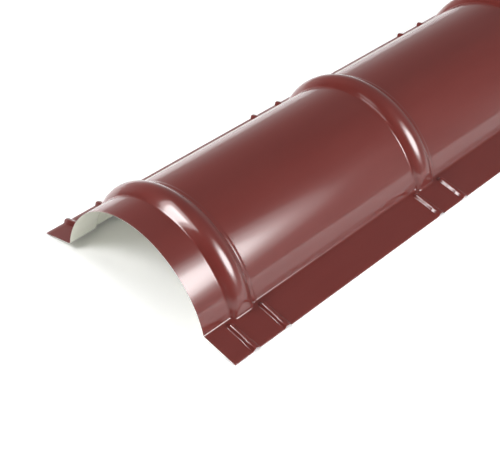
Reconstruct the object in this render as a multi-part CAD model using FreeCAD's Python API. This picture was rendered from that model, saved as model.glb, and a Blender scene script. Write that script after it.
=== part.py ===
import FreeCAD, Part
import math
import os
from FreeCAD import Vector

# Half-round roof ridge cap, rolled and pressed from one strip of painted steel sheet.
# Millimetres. X runs across the ridge, Y along it from the front end, and Z is up.
# The origin is on the floor under the middle of the piece, which stands on the outer
# edges of its two flanges. Sizes are those of the painted outer face of the sheet.

# Sheet
sheet = 0.5

# Length
length = 2000.0
first_bead = 54.0
bead_pitch = 309.0
shortest_rear_lap = 60.0

# Cross-section: the corner is where the arch would meet the flange without its bend
arch_radius = 110.0
arch_height = 87.3
foot_bend_radius = 3.0
flange_width = 46.0
flange_slope = 12.0
hem_width = 13.0

# Bead: a round ridge over the arch, whose two feet are pressed flat
bead_height = 9.0
bead_crest_radius = 19.0
bead_root_radius = 3.0
bead_foot_reach = 4.5

# Pleat: a narrow ridge across the flange in front of each bead and behind it, which
# reaches in beside the bead's foot
pleat_height = 4.3
pleat_crest_radius = 4.6
pleat_root_radius = 2.0
pleat_beside_foot = 0.8
pleat_from_corner = 4.5
pleat_nose_slope = 50.0

# Chords that stand for the round crest of a bead and of a pleat
bead_chords = 6
pleat_chords = 4

# Room outside the finished sheet that the solids below are cut with
margin = 1.0
depth = 20.0

# Two points closer than this are taken as one
same_place = 0.01

# Directions on the right-hand flange: down its slope, and square off its face
slope = math.radians(flange_slope)
down_slope = Vector(math.cos(slope), 0, -math.sin(slope))
off_slope = Vector(math.sin(slope), 0, math.cos(slope))
along = Vector(0, 1, 0)
upward = Vector(0, 0, 1)

# The hem's lower edge stands on the floor, and the corner and the arch axis follow
corner_x = math.sqrt(arch_radius**2 - (arch_radius - arch_height) ** 2)
corner_z = 2 * sheet * math.cos(slope) + flange_width * math.sin(slope)
corner = Vector(corner_x, 0, corner_z)
axis = Vector(0, 0, corner_z + arch_height - arch_radius)


def half_width(height, crest_radius, root_radius):
    """Half the width of a ridge's foot, from its middle to the end of its root."""
    reach = crest_radius + root_radius
    return math.sqrt(reach**2 - (reach - height) ** 2)


bead_half_width = half_width(bead_height, bead_crest_radius, bead_root_radius)
pleat_half_width = half_width(pleat_height, pleat_crest_radius, pleat_root_radius)
pleat_spread = bead_half_width + pleat_half_width - pleat_beside_foot
pleat_places = (first_bead - pleat_spread, first_bead + pleat_spread)


def mirrored(point):
    return Vector(-point.x, point.y, point.z)


def on_flange(run, rise):
    """Point at a distance down the slope from the corner, and off the flange's face."""
    return corner + down_slope * run + off_slope * rise


def prism(points, span):
    """Solid over a flat outline of straight sides, carried along the ridge."""
    return Part.Face(Part.makePolygon(points + points[:1])).extrude(along * span)


def plain_body(offset, span, overrun):
    """Solid under the arch and flanges of one length of cap, with no bead or pleat."""
    rise = (corner - axis).dot(off_slope) + offset
    run = math.sqrt((arch_radius + offset) ** 2 - rise**2)
    foot = axis + off_slope * rise + down_slope * run
    crown = axis + upward * (arch_radius + offset)
    arch = Part.Arc(mirrored(foot), crown, foot).toShape()
    edge = on_flange(flange_width + overrun, offset)
    low = edge - off_slope * depth
    points = [foot, edge, low, mirrored(low), mirrored(edge), mirrored(foot)]
    sides = [Part.makeLine(a, b) for a, b in zip(points, points[1:])]
    return Part.Face(Part.Wire([arch] + sides)).extrude(along * span)


def ridge_section(base, up, height, crest_radius, root_radius, offset, chords):
    """Face of a ridge's section: a round crest in chords, and roots that run into the body."""
    width = half_width(height, crest_radius, root_radius)
    wall = math.asin(width / (crest_radius + root_radius))
    middle = base + up * (height - crest_radius)
    radius = crest_radius + offset
    count = round(chords)
    crest = []
    for number in range(count + 1):
        angle = wall * (2 * number / count - 1)
        crest.append(middle + along * radius * math.sin(angle) + up * radius * math.cos(angle))
    left = base - along * width + up * offset
    right = base + along * width + up * offset
    sunk_left = left * 2 - crest[0]
    sunk_right = right * 2 - crest[-1]
    return Part.Face(Part.makePolygon([sunk_left] + crest + [sunk_right, sunk_left]))


def bead(offset):
    """Ring over the arch, with the flats that the press leaves at its two feet."""
    base = axis + upward * arch_radius + along * first_bead
    section = ridge_section(
        base, upward, bead_height, bead_crest_radius, bead_root_radius, offset, bead_chords
    )
    section.rotate(axis, along, -90)
    ring = section.revolve(axis, along, 180)
    reach = corner_x + bead_foot_reach + offset
    box = ring.BoundBox
    low = Vector(-reach, box.YMin, box.ZMin)
    return ring.common(Part.makeBox(2 * reach, box.YLength, box.ZLength, low))


def pleat(offset, place, overrun):
    """Ridge across the right-hand flange, from a sloping nose to the outer edge."""
    base = corner + along * place
    section = ridge_section(
        base, off_slope, pleat_height, pleat_crest_radius, pleat_root_radius, offset, pleat_chords
    )
    ridge = section.extrude(down_slope * (flange_width + overrun))
    angle = math.radians(pleat_nose_slope)
    up_nose = down_slope * math.cos(angle) + off_slope * math.sin(angle)
    off_nose = off_slope * math.cos(angle) - down_slope * math.sin(angle)
    toe = on_flange(pleat_from_corner, 0) + off_nose * offset
    low = toe - up_nose * depth
    high = toe + up_nose * depth
    far = down_slope * (flange_width + depth)
    beyond_nose = prism([low, high, high + far, low + far], bead_pitch)
    return ridge.common(beyond_nose)


def is_bend(edge, offset, span):
    """Whether an edge is the foot of the arch or of a bead, where the sheet bends outwards."""
    first, last = edge.FirstParameter, edge.LastParameter
    for part in (0, 0.25, 0.5, 0.75, 1):
        point = edge.valueAt(first + (last - first) * part)
        from_corner = Vector(abs(point.x), 0, point.z) - corner
        if abs(from_corner.dot(off_slope) - offset) > same_place:
            return False
        if from_corner.dot(down_slope) > bead_foot_reach + foot_bend_radius:
            return False
    middle = edge.valueAt((first + last) / 2)
    from_pleat = min(abs(middle.y - place) for place in pleat_places)
    if from_pleat < pleat_half_width and abs(middle.x) > corner_x + pleat_from_corner / 2:
        return False
    return same_place < middle.y < span - same_place


def with_bends(form, offset, span):
    """Solid whose arch and beads meet the flanges in a bend with one middle for every offset."""
    bends = [edge for edge in form.Edges if is_bend(edge, offset, span)]
    return form.makeFillet(foot_bend_radius - offset, bends)


def bay_form(offset, overrun):
    """Solid under one bay of the cap, its outer face moved outwards by offset."""
    ridges = [bead(offset)]
    for place in pleat_places:
        right = pleat(offset, place, overrun)
        ridges += [right, right.mirror(Vector(), Vector(1, 0, 0))]
    form = plain_body(offset, bead_pitch, overrun).fuse(ridges).removeSplitter()
    return with_bends(form, offset, bead_pitch)


def between_lines(run, span):
    """Region between the planes that stand square on the two flanges at one run."""
    high = on_flange(run, 2 * arch_radius)
    low = on_flange(run, -depth - margin)
    return prism([high, low, mirrored(low), mirrored(high)], span)


def sheet_under(outer, single, double, span):
    """Sheet between the outer face and the inner one, doubled along the hems."""
    hollow = double.fuse(single.common(between_lines(flange_width - hem_width, span)))
    size = 4 * arch_radius
    above_floor = Part.makeBox(size, span, size, Vector(-size / 2, 0, 0))
    return outer.common(above_floor).cut(hollow)


def bay():
    """One bay: a length of cap with its bead and its four pleats."""
    outer = bay_form(0, 0)
    single = bay_form(-sheet, margin)
    double = bay_form(-2 * sheet, margin)
    return sheet_under(outer, single, double, bead_pitch)


def plain_lap(span):
    """A length of cap with no bead, for stock that ends in more than one bare bay."""
    outer = with_bends(plain_body(0, span, 0), 0, span)
    single = with_bends(plain_body(-sheet, span, margin), -sheet, span)
    double = with_bends(plain_body(-2 * sheet, span, margin), -2 * sheet, span)
    return sheet_under(outer, single, double, span)


def ridge_cap():
    """The whole cap: like bays from the front end, cut off at the length."""
    room = length - first_bead - shortest_rear_lap
    beads = 1 + int(room // bead_pitch)
    first = bay()
    pieces = [first.translated(along * (number * bead_pitch)) for number in range(beads)]
    rest = length - beads * bead_pitch
    if rest > margin:
        pieces.append(plain_lap(rest).translated(along * (beads * bead_pitch)))
    whole = pieces[0].multiFuse(pieces[1:]).removeSplitter()
    size = 4 * arch_radius
    stock = Part.makeBox(size, length, size, Vector(-size / 2, 0, -size / 2))
    cap = whole.common(stock).Solids[0]
    return cap.translated(along * (-length / 2))


os.makedirs("parts", exist_ok=True)
ridge_cap().exportStep("parts/ridge_cap.step")
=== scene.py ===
"""Looks of a half-round roof ridge cap: one pressed sheet of painted steel, in metres."""

import logging
import math
from dataclasses import astuple, dataclass
from enum import Enum

import bmesh
import bpy
from mathutils import Matrix, Vector


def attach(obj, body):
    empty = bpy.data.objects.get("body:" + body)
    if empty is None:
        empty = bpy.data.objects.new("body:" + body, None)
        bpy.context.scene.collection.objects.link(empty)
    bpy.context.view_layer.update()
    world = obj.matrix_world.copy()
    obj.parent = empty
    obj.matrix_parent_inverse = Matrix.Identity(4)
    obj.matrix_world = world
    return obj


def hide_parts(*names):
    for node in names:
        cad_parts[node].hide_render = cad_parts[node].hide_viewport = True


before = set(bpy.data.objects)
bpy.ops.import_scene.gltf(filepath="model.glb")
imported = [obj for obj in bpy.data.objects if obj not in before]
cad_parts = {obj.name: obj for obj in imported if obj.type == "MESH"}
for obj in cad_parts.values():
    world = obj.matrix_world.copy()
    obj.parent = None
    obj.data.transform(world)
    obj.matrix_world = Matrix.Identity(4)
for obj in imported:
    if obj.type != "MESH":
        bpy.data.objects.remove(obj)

LOG = logging.getLogger("ridge_cap")
CAD_NODE = "ridge_cap"
CREST_END = 0.55
ROOT_START = 0.60


class Side(Enum):
    """Side of the ridge that a column of the sheet lies on."""

    LEFT = -1
    RIGHT = 1


class Zone(Enum):
    """Stretch of the cross-section, in order from the crown to the hem's inner edge."""

    ARCH = "arch"
    LEG = "leg"
    BEND = "bend"
    FLANGE = "flange"
    NOSE = "nose"
    HEM_FOLD = "hem fold"
    HEM_UNDER = "hem under"


class Coat(Enum):
    """Material places of the sheet, in the order of the mesh's slots."""

    PAINT = 0
    BACKING = 1
    CUT_EDGE = 2


@dataclass(frozen=True)
class PressedRidge:
    """Section of a ridge pressed into sheet: crest, straight walls and round roots."""

    height: float
    half_width: float
    crest_radius: float
    root_radius: float

    @property
    def wall_angle(self) -> float:
        """Lean of the ridge's walls, which run into the crest and the roots."""
        high, wide = self.height, self.half_width
        rounds = 2 * (self.crest_radius + self.root_radius)
        spare = max(wide**2 - high * (rounds - high), 0.0)
        return 2 * math.atan(high / (wide + math.sqrt(spare)))

    def point(self, step: float) -> tuple[float, float, float]:
        """Place on the section.

        Args:
            step: from -1 at one foot, through 0 at the crest, to 1 at the other foot. The
                crest ends at CREST_END, and the roots begin at ROOT_START.

        Returns:
            Distance across from the middle, rise above the sheet, and lean of the normal.
        """
        way = abs(step)
        if way <= CREST_END:
            lean = self.wall_angle * way / CREST_END
            across = self.crest_radius * math.sin(lean)
            rise = self.height - self.crest_radius * (1 - math.cos(lean))
        else:
            lean = self.wall_angle * (1 - way) / (1 - ROOT_START)
            across = self.half_width - self.root_radius * math.sin(lean)
            rise = self.root_radius * (1 - math.cos(lean))
        sign = math.copysign(1.0, step)
        return sign * across, rise, sign * lean


def ridge_steps(root_cuts: int, crest_cuts: int) -> list[float]:
    """Even steps over each root and over the crest of a pressed ridge.

    Args:
        root_cuts: number of pieces each root is cut into.
        crest_cuts: number of pieces the crest is cut into.

    Returns:
        Steps from -1 to 1 for PressedRidge.point().
    """
    root = [1 - (1 - ROOT_START) * k / root_cuts for k in range(root_cuts + 1)]
    crest = [CREST_END * (1 - 2 * k / crest_cuts) for k in range(crest_cuts + 1)]
    falling = root + crest + [-step for step in reversed(root)]
    return [-step for step in falling]


@dataclass(frozen=True)
class LopsidedRidge:
    """Section of a pleat: steep in front of its crest, and slower behind it."""

    height: float
    crest: float
    front_width: float
    rear_width: float
    front_radius: float
    rear_radius: float
    front_root: float = 0.0010
    rear_root: float = 0.0018

    @property
    def front_foot(self) -> float:
        """Place of the front foot from the pleat's middle."""
        return self.crest - self.front_width

    @property
    def rear_foot(self) -> float:
        """Place of the rear foot from the pleat's middle."""
        return self.crest + self.rear_width

    def half(self, step: float) -> PressedRidge:
        """Ridge that the front half or the rear half is one side of.

        Args:
            step: step across the pleat, below 0 in front of its crest.

        Returns:
            The even-sided ridge whose side the half is.
        """
        if step < 0:
            return PressedRidge(
                self.height, self.front_width, self.front_radius, self.front_root
            )
        return PressedRidge(self.height, self.rear_width, self.rear_radius, self.rear_root)

    def point(self, step: float) -> tuple[float, float, float]:
        """Distance from the pleat's middle, rise and lean at a step across the pleat."""
        across, rise, lean = self.half(step).point(step)
        return self.crest + across, rise, lean

    def towards(self, other: "LopsidedRidge", share: float) -> "LopsidedRidge":
        """Blend this section with another one.

        Args:
            other: the section to blend with.
            share: how much of the other section, from 0 to 1.

        Returns:
            The section that lies that share of the way to the other.
        """
        return LopsidedRidge(
            *(
                mine + (theirs - mine) * share
                for mine, theirs in zip(astuple(self), astuple(other))
            )
        )


@dataclass(frozen=True)
class CapSizes:
    """Sizes of the cap's painted outer face."""

    sheet: float = 0.0005
    length: float = 2.0
    first_bead: float = 0.0540
    bead_pitch: float = 0.309
    shortest_rear_lap: float = 0.06
    arch_radius: float = 0.110
    arch_height: float = 0.0873
    foot_bend: float = 0.003
    flange_width: float = 0.046
    flange_slope: float = math.radians(12)
    hem_width: float = 0.013
    bead_foot_reach: float = 0.0045
    foot_softness: float = 0.0006
    pleat_before: float = 0.0232
    pleat_behind: float = 0.0231
    pleat_gap: float = 0.00015
    nose_run: float = 0.0092
    hem_step: float = 0.0015
    ledge_height: float = 0.0005
    ledge_start: float = 0.0036
    ledge_flat: float = 0.0018
    ledge_end: float = 0.0042
    bead: PressedRidge = PressedRidge(0.009, 0.01775, 0.019, 0.00299)
    nose: PressedRidge = PressedRidge(0.0043, 0.0048, 0.0024, 0.0008)
    pleat_at_nose: LopsidedRidge = LopsidedRidge(
        0.0043, -0.0009, 0.0043, 0.0061, 0.0024, 0.0042
    )
    pleat_at_hem: LopsidedRidge = LopsidedRidge(
        0.0042, -0.0012, 0.0042, 0.0068, 0.0024, 0.0056
    )
    pleat_on_hem: LopsidedRidge = LopsidedRidge(
        0.0040, -0.0017, 0.0042, 0.0078, 0.0024, 0.0078
    )

    @property
    def corner(self) -> Vector:
        """Corner in XZ where the right-hand arch would meet the flange without its bend."""
        drop = self.arch_radius - self.arch_height
        rise = self.flange_width * math.sin(self.flange_slope)
        return Vector(
            (
                math.sqrt(self.arch_radius**2 - drop**2),
                rise + 2 * self.sheet * math.cos(self.flange_slope),
            )
        )

    @property
    def axis_height(self) -> float:
        """Height of the arch's axis."""
        return self.corner.y + self.arch_height - self.arch_radius

    @property
    def down(self) -> Vector:
        """Direction in XZ down the right-hand flange."""
        return Vector((math.cos(self.flange_slope), -math.sin(self.flange_slope)))

    @property
    def off(self) -> Vector:
        """Direction in XZ off the right-hand flange's face."""
        return Vector((math.sin(self.flange_slope), math.cos(self.flange_slope)))

    @property
    def beads(self) -> list[float]:
        """Places of the beads along Y."""
        room = self.length - self.first_bead - self.shortest_rear_lap
        count = 1 + int(room // self.bead_pitch)
        front = -self.length / 2 + self.first_bead
        return [front + self.bead_pitch * number for number in range(count)]


@dataclass(frozen=True)
class Row:
    """One cross-section of the sheet: where it lies, and what is pressed into it there."""

    y: float
    bead_rise: float = 0.0
    pleat_step: float | None = None
    bead_share: float | None = None
    middle: float = 0.0


@dataclass(frozen=True)
class Column:
    """One line along the sheet: its zone, and how far it lies through that zone."""

    zone: Zone
    share: float


def smooth_min(first: float, second: float, blend: float) -> float:
    """Take the smaller of two numbers, rounded off where they are nearly the same.

    Args:
        first: one number.
        second: the other number.
        blend: difference from which on the smaller one is taken as it is.

    Returns:
        The smaller number, or a little less.
    """
    near = max(blend - abs(first - second), 0.0) / blend
    return min(first, second) - near * near * blend / 4


def smooth_step(low: float, high: float, value: float) -> float:
    """Rise from 0 to 1 with a soft start and end.

    Args:
        low: value up to which the share is 0.
        high: value from which on the share is 1.
        value: value to look up.

    Returns:
        Share from 0 to 1.
    """
    share = min(max((value - low) / (high - low), 0.0), 1.0)
    return share * share * (3 - 2 * share)


class FootSection:
    """Leg and foot bend of one cross-section, for a given rise of the bead."""

    def __init__(self, sizes: CapSizes, bead_rise: float, leg_angle: float) -> None:
        """Find where the leg ends and the bend's middle.

        Args:
            sizes: sizes of the cap.
            bead_rise: how far the bead stands off the arch here.
            leg_angle: angle from the crown at which the leg starts.
        """
        self.sizes = sizes
        self.radius = sizes.arch_radius + bead_rise
        self.top = sizes.axis_height + self.radius * math.cos(leg_angle)
        low = sizes.corner.y - 2 * sizes.foot_bend
        high = self.top
        for _ in range(40):
            middle = (low + high) / 2
            if self._bend_rise(middle) < sizes.foot_bend:
                low = middle
            else:
                high = middle
        self.bottom = (low + high) / 2
        self.contact, self.outward = self._wall(self.bottom)
        self.centre = self.contact + self.outward * sizes.foot_bend
        self.run = (self.centre - sizes.corner).dot(sizes.down)

    def _wall_x(self, z: float) -> float:
        """Find the half width of the cap, over the arch or over the bead's flat.

        Args:
            z: height over the floor.

        Returns:
            Distance from the cap's middle plane.
        """
        rise = z - self.sizes.axis_height
        circle = math.sqrt(self.radius**2 - rise**2)
        flat = self.sizes.corner.x + self.sizes.bead_foot_reach
        return smooth_min(circle, flat, self.sizes.foot_softness)

    def _wall(self, z: float) -> tuple[Vector, Vector]:
        """Find the wall at a height.

        Args:
            z: height over the floor.

        Returns:
            Point in XZ and outward normal of the wall.
        """
        tiny = self.sizes.sheet / 10
        slope = (self._wall_x(z + tiny) - self._wall_x(z - tiny)) / (2 * tiny)
        return Vector((self._wall_x(z), z)), Vector((1.0, -slope)).normalized()

    def _bend_rise(self, z: float) -> float:
        """Find how high the middle of a bend lies that touches the wall at a height.

        Args:
            z: height over the floor.

        Returns:
            Rise of the bend's middle over the flange.
        """
        point, outward = self._wall(z)
        middle = point + outward * self.sizes.foot_bend
        return (middle - self.sizes.corner).dot(self.sizes.off)

    def leg(self, share: float) -> Vector:
        """Point on the leg, from 0 at its top to 1 at the bend."""
        return self._wall(self.top + (self.bottom - self.top) * share)[0]

    def bend(self, share: float) -> Vector:
        """Find a point on the bend.

        Args:
            share: from 0 at the leg to 1 at the flange.

        Returns:
            The point in XZ.
        """
        start = math.atan2(-self.outward.y, -self.outward.x) % math.tau
        end = math.atan2(-self.sizes.off.y, -self.sizes.off.x) % math.tau
        angle = start + (end - start) * share
        way = Vector((math.cos(angle), math.sin(angle)))
        return self.centre + way * self.sizes.foot_bend


@dataclass
class CapSheet:
    """The whole cap as one sheet, shaped row by row from a flat grid."""

    sizes: CapSizes
    leg_angle: float = math.radians(62)
    arch_cuts: int = 15
    leg_cuts: int = 12
    bend_cuts: int = 6
    nose_root_cuts: int = 3
    nose_crest_cuts: int = 4
    bead_root_cuts: int = 4
    bead_crest_cuts: int = 12
    plain_cuts: int = 5
    settle_run: float = 0.02
    wall_share: float = 0.94

    def __post_init__(self) -> None:
        """Lay out the rows and columns, and keep the sections that rows share."""
        self.rows = self._rows()
        self.columns = self._columns()
        self.sections: dict[float, FootSection] = {}

    def _rows(self) -> list[Row]:
        """Lay out the rows from the front end to the rear.

        Returns:
            The rows, closest over beads and pleats.
        """
        sizes = self.sizes
        pleat_steps = ridge_steps(self.nose_root_cuts, 2 * self.nose_crest_cuts)
        rows = [Row(-sizes.length / 2)]
        for place in sizes.beads:
            first = place - sizes.pleat_before
            rows += self._plain_rows(rows[-1].y, first + sizes.pleat_at_nose.front_foot)
            rows += [self._pleat_row(first, step, place) for step in pleat_steps]
            for step in ridge_steps(self.bead_root_cuts, self.bead_crest_cuts):
                across, rise, _ = sizes.bead.point(step)
                rise += self._ledge(across)
                share = across / sizes.bead.half_width
                rows.append(Row(place + across, rise, bead_share=share, middle=place))
            second = place + sizes.pleat_behind
            rows += [self._pleat_row(second, step, place) for step in pleat_steps]
        rows += self._plain_rows(rows[-1].y, sizes.length / 2)
        rows.append(Row(sizes.length / 2))
        return rows

    def _ledge(self, across: float) -> float:
        """Rise of the low ledge that the press leaves behind a bead.

        Args:
            across: distance behind the bead's middle.

        Returns:
            Rise of the sheet there.
        """
        sizes = self.sizes
        foot = sizes.bead.half_width
        start = smooth_step(foot - sizes.ledge_start, foot, across)
        end = smooth_step(foot + sizes.ledge_flat, foot + sizes.ledge_end, across)
        return sizes.ledge_height * start * (1 - end)

    def _plain_rows(self, start: float, end: float) -> list[Row]:
        """Rows between two places, without the two at the ends."""
        cuts = self.plain_cuts
        return [Row(start + (end - start) * k / cuts) for k in range(1, cuts)]

    def _pleat_row(self, place: float, step: float, bead: float) -> Row:
        """Row at a step across the pleat whose middle is given, beside a bead."""
        y = place + self.sizes.pleat_at_nose.point(step)[0]
        return Row(y, self._ledge(y - bead), pleat_step=step, middle=place)

    def _columns(self) -> list[Column]:
        """Lay out the columns of one side.

        Returns:
            The columns from the crown to the hem's inner edge.
        """
        sizes = self.sizes
        hem_start = sizes.flange_width - sizes.hem_width
        fold_run = sizes.flange_width - sizes.sheet
        columns = [Column(Zone.ARCH, k / self.arch_cuts) for k in range(self.arch_cuts)]
        columns += [Column(Zone.LEG, k / self.leg_cuts) for k in range(self.leg_cuts)]
        columns += [Column(Zone.BEND, k / self.bend_cuts) for k in range(self.bend_cuts + 1)]
        steps = ridge_steps(self.nose_root_cuts, 2 * self.nose_crest_cuts)
        columns += [Column(Zone.NOSE, -step) for step in steps if step <= 0]
        half_step = sizes.hem_step / 2
        runs = [
            (sizes.nose_run + hem_start) / 2,
            hem_start - half_step,
            hem_start,
            hem_start + half_step,
            (hem_start + fold_run) / 2,
            fold_run,
        ]
        columns += [Column(Zone.FLANGE, run) for run in runs]
        columns += [Column(Zone.HEM_FOLD, k / 4) for k in range(1, 5)]
        columns += [Column(Zone.HEM_UNDER, k / 2) for k in range(1, 3)]
        return columns

    def _section(self, bead_rise: float) -> FootSection:
        """Look up the foot section for a bead's rise, made once for each rise.

        Args:
            bead_rise: how far the bead stands off the arch.

        Returns:
            The foot section.
        """
        if bead_rise not in self.sections:
            section = FootSection(self.sizes, bead_rise, self.leg_angle)
            self.sections[bead_rise] = section
        return self.sections[bead_rise]

    def _flange_ridge(self, run: float) -> LopsidedRidge:
        """Find the pleat's section, which widens outwards and again where the hem starts.

        Args:
            run: distance down the flange.

        Returns:
            The section of the pleat there.
        """
        sizes = self.sizes
        hem_start = sizes.flange_width - sizes.hem_width
        half = sizes.hem_step / 2
        outwards = (run - sizes.nose_run) / (hem_start - sizes.nose_run)
        section = sizes.pleat_at_nose.towards(
            sizes.pleat_at_hem, min(max(outwards, 0.0), 1.0)
        )
        share = smooth_step(hem_start - half, hem_start + half, run)
        return section.towards(sizes.pleat_on_hem, share)

    def _on_flange(self, run: float, rise: float, y: float) -> Vector:
        """Point of space at a run down the right-hand flange and a rise off it."""
        flat = self.sizes.corner + self.sizes.down * run + self.sizes.off * rise
        return Vector((flat.x, y, flat.y))

    def _flange_point(self, row: Row, run: float, nose_step: float) -> Vector:
        """Point on the flange or on one of its pleats.

        Args:
            row: the row the point is in.
            run: distance down the flange.
            nose_step: step round the pleat's nose, or 0 beyond it.

        Returns:
            The point on the right-hand flange.
        """
        if row.pleat_step is None:
            return self._on_flange(self._settled(row, run), 0.0, self._flange_y(row, run))
        ridge = self._flange_ridge(run)
        if nose_step == 0:
            across, rise, _ = ridge.point(row.pleat_step)
            return self._on_flange(run, rise, row.middle + across)
        half = ridge.half(row.pleat_step)
        ring = max(abs(row.pleat_step), nose_step)
        aside = half.point(row.pleat_step)[0]
        back = self.sizes.nose.point(nose_step)[0]
        wide, side_rise, _ = half.point(ring)
        long, nose_rise, _ = self.sizes.nose.point(ring)
        share = 1 / math.hypot(aside / wide, back / long)
        headway = (share * back / long) ** 2
        rise = side_rise + (nose_rise - side_rise) * headway
        y = row.middle + ridge.crest + aside * share
        return self._on_flange(self.sizes.nose_run - back * share, rise, y)

    def _flange_y(self, row: Row, run: float) -> float:
        """Place a row on the flange, where a bead's rows make room for the pleats.

        Args:
            row: the row.
            run: distance down the flange.

        Returns:
            Place of the row along Y.
        """
        if row.bead_share is None:
            return row.y
        sizes = self.sizes
        ridge = self._flange_ridge(run)
        front = ridge.rear_foot - sizes.pleat_before + sizes.pleat_gap
        rear = ridge.front_foot + sizes.pleat_behind - sizes.pleat_gap
        moved = row.middle + front + (rear - front) * (1 + row.bead_share) / 2
        share = smooth_step(sizes.nose_run / 2, sizes.nose_run, run)
        return row.y + (moved - row.y) * share

    def _settled(self, row: Row, run: float) -> float:
        """Move a column out where a bead's foot takes its place.

        Args:
            row: the row.
            run: distance of the column down the flange, clear of the beads.

        Returns:
            Distance of the column down the flange in this row.
        """
        start = self._section(0.0).run
        moved = self._section(row.bead_rise).run
        if run >= self.settle_run:
            return run
        share = (self.settle_run - run) / (self.settle_run - start)
        return run + (moved - start) * share

    def _hem_point(self, row: Row, run: float, turn: float) -> Vector:
        """Point on the hem's fold or underneath it.

        Args:
            row: the row the point is in.
            run: distance down the flange of the fold's middle.
            turn: angle round the fold, from 0 on the upper face to pi underneath.

        Returns:
            The point on the right-hand hem.
        """
        across, rise, lean = 0.0, 0.0, 0.0
        place = self._flange_y(row, run)
        if row.pleat_step is not None:
            across, rise, lean = self._flange_ridge(run).point(row.pleat_step)
            place = row.middle
        sheet = self.sizes.sheet
        depth = sheet * (1 - math.cos(turn))
        out = sheet * math.sin(turn)
        y = place + across - depth * math.sin(lean)
        return self._on_flange(run + out, rise - depth * math.cos(lean), y)

    def point(self, row: Row, column: Column, side: Side) -> Vector:
        """Point of the painted face.

        Args:
            row: cross-section of the sheet.
            column: line along the sheet.
            side: side of the ridge.

        Returns:
            The point in the frame's own coordinates.
        """
        sizes = self.sizes
        section = self._section(row.bead_rise)
        fold_run = sizes.flange_width - sizes.sheet
        if column.zone is Zone.ARCH:
            angle = self.leg_angle * column.share
            x = section.radius * math.sin(angle)
            spot = Vector((x, row.y, sizes.axis_height + section.radius * math.cos(angle)))
        elif column.zone is Zone.LEG:
            flat = section.leg(column.share)
            spot = Vector((flat.x, row.y, flat.y))
        elif column.zone is Zone.BEND:
            flat = section.bend(column.share)
            spot = Vector((flat.x, row.y, flat.y))
        elif column.zone is Zone.NOSE:
            run = sizes.nose_run - sizes.nose.point(column.share)[0]
            spot = self._flange_point(row, run, column.share)
        elif column.zone is Zone.FLANGE:
            spot = self._flange_point(row, column.share, 0.0)
        elif column.zone is Zone.HEM_FOLD:
            spot = self._hem_point(row, fold_run, math.pi * column.share)
        else:
            strip = sizes.hem_width - sizes.sheet
            spot = self._hem_point(row, fold_run - strip * column.share, math.pi)
        spot.x *= side.value
        return spot

    def build(self) -> bpy.types.Object:
        """Shape the grid into the cap.

        Returns:
            The cap as one object, with its place in its mesh.
        """
        across = len(self.columns) - 1
        mesh_maker = bmesh.new()
        bmesh.ops.create_grid(
            mesh_maker, x_segments=2 * across, y_segments=len(self.rows) - 1, size=1.0
        )
        for vertex in mesh_maker.verts:
            number = round(vertex.co.x * across)
            row = self.rows[round((vertex.co.y + 1) / 2 * (len(self.rows) - 1))]
            side = Side.LEFT if number < 0 else Side.RIGHT
            vertex.co = self.point(row, self.columns[abs(number)], side)
        for edge in mesh_maker.edges:
            edge.smooth = not edge.is_boundary
        for face in mesh_maker.faces:
            face.smooth = True
        mesh = bpy.data.meshes.new("cap_sheet")
        mesh_maker.to_mesh(mesh)
        mesh_maker.free()
        cap = bpy.data.objects.new("cap_sheet", mesh)
        bpy.context.scene.collection.objects.link(cap)
        wall = cap.modifiers.new("sheet_thickness", "SOLIDIFY")
        wall.thickness = self.sizes.sheet * self.wall_share
        wall.offset = -1.0
        wall.use_even_offset = True
        wall.material_offset = Coat.BACKING.value
        wall.material_offset_rim = Coat.CUT_EDGE.value
        return cap


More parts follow.
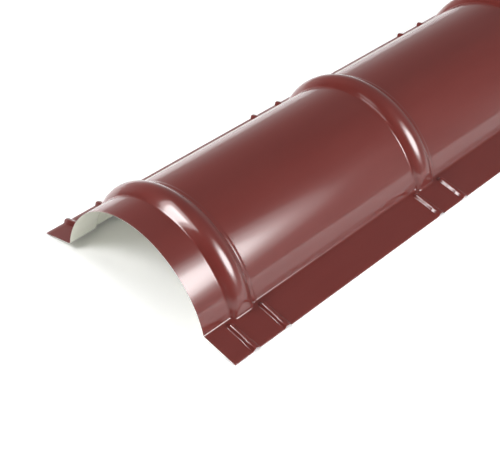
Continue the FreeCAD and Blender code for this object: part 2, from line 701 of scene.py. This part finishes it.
class NodeBench:
    """Short ways to put shader nodes together in one node tree."""

    def __init__(self, tree: bpy.types.NodeTree) -> None:
        """Work on a tree, which is emptied first."""
        self.tree = tree
        tree.nodes.clear()

    def add(self, kind: str, **settings: object) -> bpy.types.Node:
        """Add a node.

        Args:
            kind: the node's type name.
            **settings: attributes of the node.

        Returns:
            The new node.
        """
        node = self.tree.nodes.new(kind)
        for name, value in settings.items():
            setattr(node, name, value)
        return node

    def link(self, source: bpy.types.NodeSocket, target: bpy.types.NodeSocket) -> None:
        """Join two sockets."""
        self.tree.links.new(source, target)

    def noise(
        self, place: bpy.types.NodeSocket, scale: float, detail: float, roughness: float
    ) -> bpy.types.NodeSocket:
        """Noise at a scale, in object coordinates.

        Args:
            place: coordinates to read.
            scale: bumps per metre.
            detail: number of finer layers.
            roughness: weight of the finer layers.

        Returns:
            The noise's value socket.
        """
        node = self.add("ShaderNodeTexNoise")
        node.inputs["Scale"].default_value = scale
        node.inputs["Detail"].default_value = detail
        node.inputs["Roughness"].default_value = roughness
        self.link(place, node.inputs["Vector"])
        return node.outputs["Fac"]

    def spread(
        self, value: bpy.types.NodeSocket, low: float, high: float
    ) -> bpy.types.NodeSocket:
        """Stretch a noise's middle range between two numbers.

        Args:
            value: socket of the noise.
            low: number for the range's lower end.
            high: number for the range's upper end.

        Returns:
            The socket of the stretched value.
        """
        node = self.add("ShaderNodeMapRange")
        node.inputs["From Min"].default_value = 0.3
        node.inputs["From Max"].default_value = 0.7
        node.inputs["To Min"].default_value = low
        node.inputs["To Max"].default_value = high
        self.link(value, node.inputs["Value"])
        return node.outputs["Result"]

    def ramp(
        self,
        value: bpy.types.NodeSocket,
        edges: tuple[float, float],
        levels: tuple[float, float],
    ) -> bpy.types.NodeSocket:
        """Go softly from one level to another.

        Args:
            value: socket that the ramp follows.
            edges: values at which the ramp starts and ends.
            levels: levels before the start and after the end.

        Returns:
            The level's socket.
        """
        node = self.add("ShaderNodeMapRange", interpolation_type="SMOOTHSTEP")
        node.inputs["From Min"].default_value, node.inputs["From Max"].default_value = edges
        node.inputs["To Min"].default_value, node.inputs["To Max"].default_value = levels
        self.link(value, node.inputs["Value"])
        return node.outputs["Result"]

    def product(
        self, first: bpy.types.NodeSocket, second: bpy.types.NodeSocket
    ) -> bpy.types.NodeSocket:
        """Multiply two values.

        Args:
            first: socket of one value.
            second: socket of the other value.

        Returns:
            The product's socket.
        """
        node = self.add("ShaderNodeMath", operation="MULTIPLY")
        self.link(first, node.inputs[0])
        self.link(second, node.inputs[1])
        return node.outputs["Value"]


class CoilCoatGroup:
    """Shared node group: the slight unevenness of a coat rolled on to a coil of steel."""

    NAME = "coil_coat"

    def build(self) -> bpy.types.NodeTree:
        """Make the group.

        Returns:
            The group, with a mottle mask and a height for a bump.
        """
        tree = bpy.data.node_groups.new(self.NAME, "ShaderNodeTree")
        bench = NodeBench(tree)
        face = tree.interface
        face.new_socket("Peel Scale", in_out="INPUT", socket_type="NodeSocketFloat")
        face.new_socket("Mottle", in_out="OUTPUT", socket_type="NodeSocketFloat")
        face.new_socket("Height", in_out="OUTPUT", socket_type="NodeSocketFloat")
        entry = bench.add("NodeGroupInput")
        leave = bench.add("NodeGroupOutput")
        place = bench.add("ShaderNodeTexCoord").outputs["Object"]
        drawn = bench.add("ShaderNodeMapping")
        drawn.inputs["Scale"].default_value = (1.0, 0.25, 1.0)
        bench.link(place, drawn.inputs["Vector"])
        mottle = bench.noise(drawn.outputs["Vector"], 45.0, 3.0, 0.55)
        bench.link(mottle, leave.inputs["Mottle"])
        peel = bench.add("ShaderNodeTexNoise")
        peel.inputs["Detail"].default_value = 2.0
        bench.link(place, peel.inputs["Vector"])
        bench.link(entry.outputs["Peel Scale"], peel.inputs["Scale"])
        bench.link(peel.outputs["Fac"], leave.inputs["Height"])
        return tree


@dataclass(frozen=True)
class CoatFinish:
    """A coat on the sheet: its colour, gloss and unevenness."""

    name: str
    colour: tuple[float, float, float]
    worn_colour: tuple[float, float, float]
    roughness: float
    roughness_change: float
    metallic: float
    ior: float
    coat_weight: float
    coat_roughness: float
    coat_ior: float
    sheen_under: float
    peel_scale: float
    peel_height: float

    def build(self, group: bpy.types.NodeTree) -> bpy.types.Material:
        """Make the material.

        Args:
            group: the shared coil coat group.

        Returns:
            The finished material.
        """
        material = bpy.data.materials.new(self.name)
        material.use_nodes = True
        bench = NodeBench(material.node_tree)
        output = bench.add("ShaderNodeOutputMaterial")
        shader = bench.add("ShaderNodeBsdfPrincipled")
        bench.link(shader.outputs["BSDF"], output.inputs["Surface"])
        coil = bench.add("ShaderNodeGroup", node_tree=group)
        coil.inputs["Peel Scale"].default_value = self.peel_scale
        tint = bench.add("ShaderNodeMix", data_type="RGBA")
        bench.link(bench.spread(coil.outputs["Mottle"], 0.0, 1.0), tint.inputs["Factor"])
        tint.inputs["A"].default_value = (*self.colour, 1.0)
        tint.inputs["B"].default_value = (*self.worn_colour, 1.0)
        bench.link(tint.outputs["Result"], shader.inputs["Base Color"])
        low = self.roughness - self.roughness_change
        high = self.roughness + self.roughness_change
        bench.link(bench.spread(coil.outputs["Mottle"], low, high), shader.inputs["Roughness"])
        bump = bench.add("ShaderNodeBump")
        bump.inputs["Distance"].default_value = self.peel_height
        bench.link(coil.outputs["Height"], bump.inputs["Height"])
        bench.link(bump.outputs["Normal"], shader.inputs["Normal"])
        shader.inputs["Metallic"].default_value = self.metallic
        shader.inputs["IOR"].default_value = self.ior
        shader.inputs["Specular IOR Level"].default_value = self.sheen_under
        shader.inputs["Coat Weight"].default_value = self.coat_weight
        shader.inputs["Coat Roughness"].default_value = self.coat_roughness
        shader.inputs["Coat IOR"].default_value = self.coat_ior
        return material


RED_PAINT = CoatFinish(
    name="oxide_red_paint",
    colour=(0.126, 0.0212, 0.0175),
    worn_colour=(0.133, 0.0236, 0.0195),
    roughness=0.34,
    roughness_change=0.03,
    metallic=0.0,
    ior=1.5,
    coat_weight=1.0,
    coat_roughness=0.12,
    coat_ior=1.65,
    sheen_under=0.2,
    peel_scale=420.0,
    peel_height=0.00002,
)

GREY_BACKING = CoatFinish(
    name="grey_backing_coat",
    colour=(0.78, 0.78, 0.68),
    worn_colour=(0.73, 0.73, 0.64),
    roughness=0.48,
    roughness_change=0.06,
    metallic=0.0,
    ior=1.5,
    coat_weight=0.0,
    coat_roughness=0.2,
    coat_ior=1.5,
    sheen_under=0.5,
    peel_scale=300.0,
    peel_height=0.00002,
)

SHEARED_STEEL = CoatFinish(
    name="sheared_steel_edge",
    colour=(0.62, 0.55, 0.53),
    worn_colour=(0.42, 0.30, 0.28),
    roughness=0.42,
    roughness_change=0.1,
    metallic=0.4,
    ior=1.5,
    coat_weight=0.0,
    coat_roughness=0.2,
    coat_ior=1.5,
    sheen_under=0.5,
    peel_scale=900.0,
    peel_height=0.00003,
)


class Lamp(Enum):
    """What a lamp lights: everything, only what is matt, or only what is glossy."""

    WHOLE = "whole"
    FILL = "fill"
    SHINE = "shine"


@dataclass(frozen=True)
class SoftBox:
    """A soft lamp, placed by the direction that it shines from."""

    name: str
    azimuth: float
    elevation: float
    distance: float
    width: float
    height: float
    radiance: float
    lamp: Lamp = Lamp.WHOLE

    def build(self, target: Vector) -> None:
        """Hang the lamp so that it faces a point.

        Args:
            target: the point.
        """
        azimuth, elevation = math.radians(self.azimuth), math.radians(self.elevation)
        level = math.cos(elevation)
        way = Vector(
            (math.sin(azimuth) * level, math.cos(azimuth) * level, math.sin(elevation))
        )
        lamp = bpy.data.lights.new(self.name, "AREA")
        lamp.shape = "ELLIPSE"
        lamp.size = self.width
        lamp.size_y = self.height
        lamp.energy = self.radiance * math.pi * self.width * self.height * math.pi / 4
        holder = bpy.data.objects.new(self.name, lamp)
        holder.location = target + way * self.distance
        holder.rotation_euler = way.to_track_quat("Z", "Y").to_euler()
        holder.visible_camera = False
        holder.visible_diffuse = self.lamp is not Lamp.SHINE
        holder.visible_glossy = self.lamp is not Lamp.FILL
        bpy.context.scene.collection.objects.link(holder)


SIDE_RINGS = tuple(
    SoftBox(
        name=f"side_lamp_{number}",
        azimuth=68.0,
        elevation=33.0,
        distance=1.9 + number / 500,
        width=wide,
        height=wide,
        radiance=radiance,
    )
    for number, (wide, radiance) in enumerate(((0.90, 3.0), (1.14, 2.6), (1.40, 1.9), (1.70, 1.2)))
)

SHINE_LAMPS = (
    SoftBox("side_lamp_core", 66.0, 30.0, 1.89, 1.05, 0.95, radiance=3.4, lamp=Lamp.SHINE),
    SoftBox("front_strip", -155.0, 58.0, 2.0, 0.9, 0.4, radiance=1.6, lamp=Lamp.SHINE),
)

FILL_LAMPS = (
    SoftBox("front_fill", -158.0, 51.0, 2.5, 1.2, 1.2, radiance=10.2, lamp=Lamp.FILL),
    SoftBox("left_fill", -90.0, 10.0, 6.0, 4.0, 1.8, radiance=36.0, lamp=Lamp.FILL),
    SoftBox("right_fill", 80.0, 5.0, 2.5, 1.3, 0.24, radiance=14.0, lamp=Lamp.FILL),
    SoftBox("opening_fill", 134.0, 1.5, 2.5, 1.3, 0.20, radiance=32.0, lamp=Lamp.FILL),
)


@dataclass(frozen=True)
class LevelPanel:
    """Level panel low over the front left, which shows in what leans to the front."""

    place: tuple[float, float, float] = (-0.121, -1.258, 0.35)
    turn: float = -25.0
    step: float = 0.002
    sheets: tuple[tuple[float, float, float], ...] = ((0.48, 0.16, 8.5), (0.62, 0.26, 4.0))

    def build(self) -> None:
        """Hang the panel as nested sheets of light: long side, short side and radiance."""
        for number, (long, wide, radiance) in enumerate(self.sheets):
            name = f"front_panel_{number}"
            lamp = bpy.data.lights.new(name, "AREA")
            lamp.shape = "RECTANGLE"
            lamp.size = wide
            lamp.size_y = long
            lamp.energy = radiance * math.pi * long * wide
            holder = bpy.data.objects.new(name, lamp)
            holder.location = Vector(self.place) + Vector((0.0, 0.0, number * self.step))
            holder.rotation_euler = (0.0, 0.0, math.radians(self.turn))
            holder.visible_camera = False
            holder.visible_diffuse = False
            bpy.context.scene.collection.objects.link(holder)


@dataclass
class Studio:
    """Pale floor, dim room and soft lamps round the front of the cap."""

    target: Vector
    floor_size: float = 30.0
    floor_colour: float = 0.86
    seen_floor: float = 0.30
    shown_floor: float = 1.0
    shown_front: float = 0.05
    shown_far: float = 0.25
    front_edge: tuple[float, float] = (-1.2, -0.95)
    side_edge: tuple[float, float] = (1.5, 4.0)
    floor_glow: float = 0.03
    far_glow: float = 0.6
    glow_edge: tuple[float, float] = (0.25, 0.60)
    room_low: float = 0.50
    room_high: float = 0.20
    room_front: float = 0.2
    room_rise: tuple[float, float] = (0.0, 0.5)
    room_depth: tuple[float, float] = (-0.5, 0.1)

    def build(self) -> None:
        """Make the floor, the room's light and the lamps."""
        self._floor()
        self._room()
        for lamp in SHINE_LAMPS + SIDE_RINGS + FILL_LAMPS:
            lamp.build(self.target)
        LevelPanel().build()

    def _floor(self) -> None:
        """Level floor that shows white to the camera and keeps shadows."""
        maker = bmesh.new()
        bmesh.ops.create_grid(maker, x_segments=1, y_segments=1, size=self.floor_size / 2)
        mesh = bpy.data.meshes.new("studio_floor")
        maker.to_mesh(mesh)
        maker.free()
        floor = bpy.data.objects.new("studio_floor", mesh)
        bpy.context.scene.collection.objects.link(floor)
        material = bpy.data.materials.new("studio_floor")
        material.use_nodes = True
        bench = NodeBench(material.node_tree)
        output = bench.add("ShaderNodeOutputMaterial")
        matt = bench.add("ShaderNodeBsdfDiffuse")
        glow = bench.add("ShaderNodeEmission")
        rays = bench.add("ShaderNodeLightPath")
        floor_colour = bench.add("ShaderNodeMix", data_type="RGBA")
        floor_colour.inputs["A"].default_value = (self.floor_colour,) * 3 + (1.0,)
        bench.link(rays.outputs["Is Glossy Ray"], floor_colour.inputs["Factor"])
        bench.link(self._shown(bench), floor_colour.inputs["B"])
        bench.link(floor_colour.outputs["Result"], matt.inputs["Color"])
        extra = bench.add("ShaderNodeMix", data_type="RGBA")
        extra.inputs["A"].default_value = (0.0, 0.0, 0.0, 1.0)
        extra.inputs["B"].default_value = (self.seen_floor,) * 3 + (1.0,)
        bench.link(rays.outputs["Is Camera Ray"], extra.inputs["Factor"])
        pale = bench.add("ShaderNodeBsdfDiffuse")
        bench.link(extra.outputs["Result"], pale.inputs["Color"])
        level = bench.product(rays.outputs["Is Camera Ray"], self._glow(bench))
        bench.link(level, glow.inputs["Strength"])
        face = bench.add("ShaderNodeAddShader")
        bench.link(matt.outputs["BSDF"], face.inputs[0])
        bench.link(pale.outputs["BSDF"], face.inputs[1])
        both = bench.add("ShaderNodeAddShader")
        bench.link(face.outputs["Shader"], both.inputs[0])
        bench.link(glow.outputs["Emission"], both.inputs[1])
        bench.link(both.outputs["Shader"], output.inputs["Surface"])
        mesh.materials.append(material)

    def _shown(self, bench: NodeBench) -> bpy.types.NodeSocket:
        """Make the colour that the floor has in reflections.

        Args:
            bench: bench of the floor's node tree.

        Returns:
            Socket of a grey that is dark at the front and far out on both sides.
        """
        place = bench.add("ShaderNodeTexCoord")
        parts = bench.add("ShaderNodeSeparateXYZ")
        bench.link(place.outputs["Object"], parts.inputs["Vector"])
        front = bench.ramp(
            parts.outputs["Y"], self.front_edge, (self.shown_front, self.shown_floor)
        )
        aside = bench.add("ShaderNodeMath", operation="ABSOLUTE")
        bench.link(parts.outputs["X"], aside.inputs[0])
        far = bench.ramp(aside.outputs["Value"], self.side_edge, (1.0, self.shown_far))
        return bench.product(front, far)

    def _glow(self, bench: NodeBench) -> bpy.types.NodeSocket:
        """Make the floor's glow.

        Args:
            bench: bench of the floor's node tree.

        Returns:
            Socket of a strength that grows away from the cap's two long sides.
        """
        place = bench.add("ShaderNodeTexCoord")
        parts = bench.add("ShaderNodeSeparateXYZ")
        aside = bench.add("ShaderNodeMath", operation="ABSOLUTE")
        bench.link(place.outputs["Object"], parts.inputs["Vector"])
        bench.link(parts.outputs["X"], aside.inputs[0])
        glow = (self.floor_glow, self.far_glow)
        return bench.ramp(aside.outputs["Value"], self.glow_edge, glow)

    def _room(self) -> None:
        """Room light: brighter near the horizon than overhead, and dim at the front."""
        world = bpy.data.worlds.new("studio_room")
        world.use_nodes = True
        bench = NodeBench(world.node_tree)
        output = bench.add("ShaderNodeOutputWorld")
        light = bench.add("ShaderNodeBackground")
        place = bench.add("ShaderNodeTexCoord")
        parts = bench.add("ShaderNodeSeparateXYZ")
        bench.link(place.outputs["Generated"], parts.inputs["Vector"])
        level = bench.ramp(parts.outputs["Z"], self.room_rise, (self.room_low, self.room_high))
        front = bench.ramp(parts.outputs["Y"], self.room_depth, (self.room_front, 1.0))
        bench.link(bench.product(level, front), light.inputs["Strength"])
        bench.link(light.outputs["Background"], output.inputs["Surface"])
        bpy.context.scene.world = world


@dataclass(frozen=True)
class Viewpoint:
    """The camera that looks down along the ridge from its front right."""

    place: tuple[float, float, float] = (0.70764, -1.54225, 0.78290)
    azimuth: float = 44.526
    elevation: float = 37.987
    roll: float = -0.449
    lens: float = 79.49
    sensor: float = 36.0

    def build(self) -> None:
        """Make the camera and give it to the scene."""
        data = bpy.data.cameras.new("main_camera")
        data.sensor_fit = "HORIZONTAL"
        data.sensor_width = self.sensor
        data.lens = self.lens
        camera = bpy.data.objects.new("main_camera", data)
        turn = Matrix.Rotation(math.radians(self.azimuth), 3, "Z")
        tilt = Matrix.Rotation(math.radians(90 - self.elevation), 3, "X")
        roll = Matrix.Rotation(math.radians(self.roll), 3, "Z")
        camera.rotation_euler = (turn @ tilt @ roll).to_euler()
        camera.location = self.place
        bpy.context.scene.collection.objects.link(camera)
        bpy.context.scene.camera = camera


def main() -> None:
    """Build the cap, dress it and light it."""
    logging.basicConfig(level=logging.INFO, format="%(name)s: %(message)s")
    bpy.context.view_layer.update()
    bpy.context.scene.view_settings.view_transform = "Standard"

    sizes = CapSizes()
    cap = CapSheet(sizes).build()
    group = CoilCoatGroup().build()
    for finish in (RED_PAINT, GREY_BACKING, SHEARED_STEEL):
        cap.data.materials.append(finish.build(group))
    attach(cap, "root")
    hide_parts(CAD_NODE)
    LOG.info("cap sheet: %d faces", len(cap.data.polygons))

    bead = sizes.beads[0]
    Studio(target=Vector((0.07, bead, 0.08))).build()
    Viewpoint().build()
    LOG.info("studio and camera are in place")


if __name__ == "__main__":
    main()
